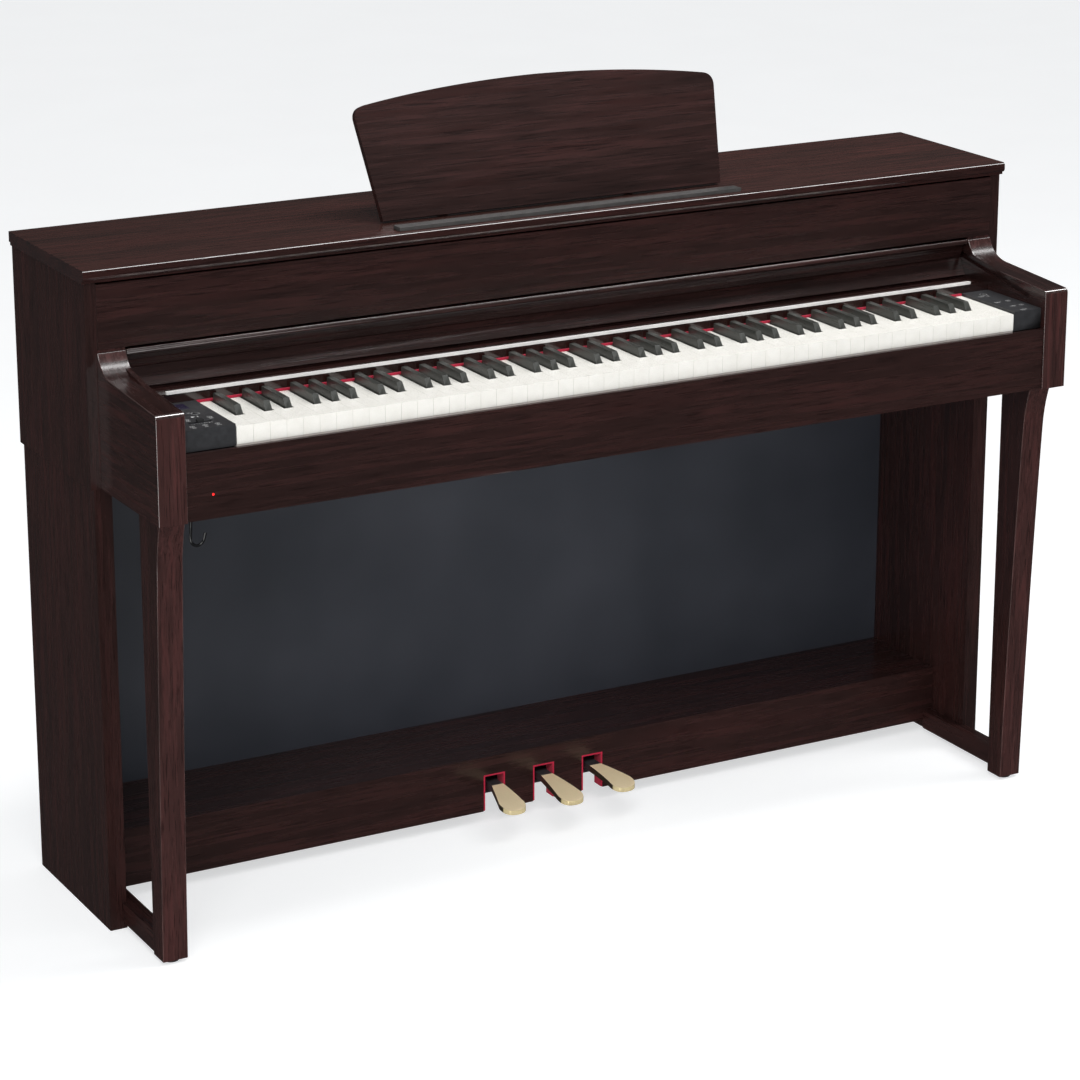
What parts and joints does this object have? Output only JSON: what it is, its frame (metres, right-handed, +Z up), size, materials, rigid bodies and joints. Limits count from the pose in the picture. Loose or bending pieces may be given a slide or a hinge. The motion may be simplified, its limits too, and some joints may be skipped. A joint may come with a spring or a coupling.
{
  "type": "digital piano",
  "caption": "Console digital piano on a panelled stand, with a weighted keyboard, sliding key cover, folding music rest and three pedals.",
  "frame": {"origin": "on the floor, under the middle of the case's bounding box", "axes": "+X along the keyboard to the player's right, +Y from the player towards the back, +Z up"},
  "size_m": [1.461, 0.459, 1.102],
  "materials": {
    "rosewood": "satin dark rosewood foil with fine horizontal or vertical grain",
    "dark_panel": "thin hardboard with a dark blue-black satin finish",
    "white_key": "warm white key tops with a fine satin grain",
    "black_key": "ebony-look key tops with a soft sheen",
    "red_felt": "crimson wool felt",
    "pedal_brass": "satin top with a polished edge",
    "trim_metal": "bright anodised strip",
    "steel": "plain bent sheet and wire",
    "black_plastic": "fine-textured black moulding",
    "speaker_cone": "black paper cone in a black frame",
    "glide": "hard black foot",
    "display": "dark blue display glass",
    "circuit_board": "green laminate with black components",
    "red_lens": "small red lamp lens"
  },
  "bodies": {
    "root": {"black_keys": "black_key", "display_window": "display", "fallboard": "rosewood", "fallboard_trim_strip": "trim_metal", "front_key_rail": "rosewood", "headphone_hook": "steel", "headphone_jack_box": "black_plastic", "key_bed": "rosewood", "key_felt_strip": "red_felt", "keyboard_frame": "black_plastic", "left_arm": "rosewood", "left_cheek_block": "black_plastic", "left_cover_guide": "black_plastic", "left_front_leg": "rosewood", "left_leg_glide": "glide", "left_speaker": "speaker_cone", "left_stand_side": "rosewood", "left_toe_rail": "rosewood", "left_upper_side": "rosewood", "lower_back_panel": "dark_panel", "main_circuit_board": "circuit_board", "music_ledge": "black_plastic", "pedal_box_front_rail": "rosewood", "pedal_box_shelf": "rosewood", "pedal_frame": "steel", "pedal_slot_felt": "red_felt", "power_inlet": "black_plastic", "power_lamp": "red_lens", "right_arm": "rosewood", "right_cheek_block": "black_plastic", "right_cover_guide": "black_plastic", "right_front_leg": "rosewood", "right_leg_glide": "glide", "right_speaker": "speaker_cone", "right_stand_side": "rosewood", "right_toe_rail": "rosewood", "right_upper_side": "rosewood", "top_board": "rosewood", "upper_back_panel": "dark_panel", "upper_front_panel": "rosewood", "white_keys": "white_key"},
    "key_cover": {"key_cover": "rosewood", "key_cover_lip": "rosewood"},
    "music_rest": {"music_rest": "rosewood"},
    "left_music_rest_stay": {"left_music_rest_stay": "steel"},
    "right_music_rest_stay": {"right_music_rest_stay": "steel"},
    "left_pedal": {"left_pedal": "pedal_brass"},
    "centre_pedal": {"centre_pedal": "pedal_brass"},
    "right_pedal": {"right_pedal": "pedal_brass"},
    "power_button": {"power_button": "black_plastic"},
    "menu_button": {"menu_button": "black_plastic"},
    "volume_slider": {"volume_slider": "black_plastic"},
    "key_a0": {"key_a0": "white_key"},
    "key_a_sharp0": {"key_a_sharp0": "black_key"},
    "key_b0": {"key_b0": "white_key"},
    "key_c1": {"key_c1": "white_key"},
    "key_c_sharp1": {"key_c_sharp1": "black_key"},
    "key_d1": {"key_d1": "white_key"},
    "key_d_sharp1": {"key_d_sharp1": "black_key"},
    "key_e1": {"key_e1": "white_key"}
  },
  "joints": [
    {"name": "key_cover_slide", "type": "slide", "parent": "root", "child": "key_cover", "axis": [0, -0.9863, -0.165], "range_m": [0, 0.18]},
    {"name": "music_rest_fold", "type": "hinge", "parent": "root", "child": "music_rest", "pos_m": [0.004, 0.02977, 0.93369], "axis": [1, 0, 0], "range_deg": [-70, 0]},
    {"name": "left_stay_fold", "type": "hinge", "parent": "music_rest", "child": "left_music_rest_stay", "pos_m": [-0.146, 0.05262, 0.98975], "axis": [1, 0, 0], "range_deg": [0, 130]},
    {"name": "right_stay_fold", "type": "hinge", "parent": "music_rest", "child": "right_music_rest_stay", "pos_m": [0.154, 0.05262, 0.98975], "axis": [1, 0, 0], "range_deg": [0, 130]},
    {"name": "left_pedal_press", "type": "hinge", "parent": "root", "child": "left_pedal", "pos_m": [-0.084, 0.15, 0.059], "axis": [1, 0, 0], "range_deg": [0, 4], "stiffness_Nm_per_rad": 30, "springref_deg": -4.58},
    {"name": "centre_pedal_press", "type": "hinge", "parent": "root", "child": "centre_pedal", "pos_m": [-0.0015, 0.15, 0.059], "axis": [1, 0, 0], "range_deg": [0, 4], "stiffness_Nm_per_rad": 30, "springref_deg": -4.58},
    {"name": "right_pedal_press", "type": "hinge", "parent": "root", "child": "right_pedal", "pos_m": [0.081, 0.15, 0.059], "axis": [1, 0, 0], "range_deg": [0, 4], "stiffness_Nm_per_rad": 30, "springref_deg": -4.58},
    {"name": "key_a0_press", "type": "hinge", "parent": "root", "child": "key_a0", "pos_m": [0, 0.01, 0.722], "axis": [1, 0, 0], "range_deg": [0, 2.5], "stiffness_Nm_per_rad": 1.5, "springref_deg": -11.46},
    {"name": "key_a_sharp0_press", "type": "hinge", "parent": "root", "child": "key_a_sharp0", "pos_m": [0, 0.01, 0.722], "axis": [1, 0, 0], "range_deg": [0, 2.5], "stiffness_Nm_per_rad": 0.6, "springref_deg": -11.46},
    {"name": "key_b0_press", "type": "hinge", "parent": "root", "child": "key_b0", "pos_m": [0, 0.01, 0.722], "axis": [1, 0, 0], "range_deg": [0, 2.5], "stiffness_Nm_per_rad": 1.5, "springref_deg": -11.46},
    {"name": "key_c1_press", "type": "hinge", "parent": "root", "child": "key_c1", "pos_m": [0, 0.01, 0.722], "axis": [1, 0, 0], "range_deg": [0, 2.5], "stiffness_Nm_per_rad": 1.5, "springref_deg": -11.46},
    {"name": "key_c_sharp1_press", "type": "hinge", "parent": "root", "child": "key_c_sharp1", "pos_m": [0, 0.01, 0.722], "axis": [1, 0, 0], "range_deg": [0, 2.5], "stiffness_Nm_per_rad": 0.6, "springref_deg": -11.46},
    {"name": "key_d1_press", "type": "hinge", "parent": "root", "child": "key_d1", "pos_m": [0, 0.01, 0.722], "axis": [1, 0, 0], "range_deg": [0, 2.5], "stiffness_Nm_per_rad": 1.5, "springref_deg": -11.46},
    {"name": "key_d_sharp1_press", "type": "hinge", "parent": "root", "child": "key_d_sharp1", "pos_m": [0, 0.01, 0.722], "axis": [1, 0, 0], "range_deg": [0, 2.5], "stiffness_Nm_per_rad": 0.6, "springref_deg": -11.46},
    {"name": "key_e1_press", "type": "hinge", "parent": "root", "child": "key_e1", "pos_m": [0, 0.01, 0.722], "axis": [1, 0, 0], "range_deg": [0, 2.5], "stiffness_Nm_per_rad": 1.5, "springref_deg": -11.46},
    {"name": "menu_button_press", "type": "slide", "parent": "root", "child": "menu_button", "axis": [0, 0, -1], "range_m": [0, 0.001], "stiffness_N_per_m": 300, "springref_m": -0.001},
    {"name": "power_button_press", "type": "slide", "parent": "root", "child": "power_button", "axis": [0, 0, -1], "range_m": [0, 0.001], "stiffness_N_per_m": 300, "springref_m": -0.001},
    {"name": "volume_slide", "type": "slide", "parent": "root", "child": "volume_slider", "axis": [1, 0, 0], "range_m": [-0.012, 0.012]}
  ],
  "couplings": [
    {"joint": "left_stay_fold", "follows": "music_rest_fold", "ratio": -1.8571},
    {"joint": "right_stay_fold", "follows": "music_rest_fold", "ratio": -1.8571}
  ]
}
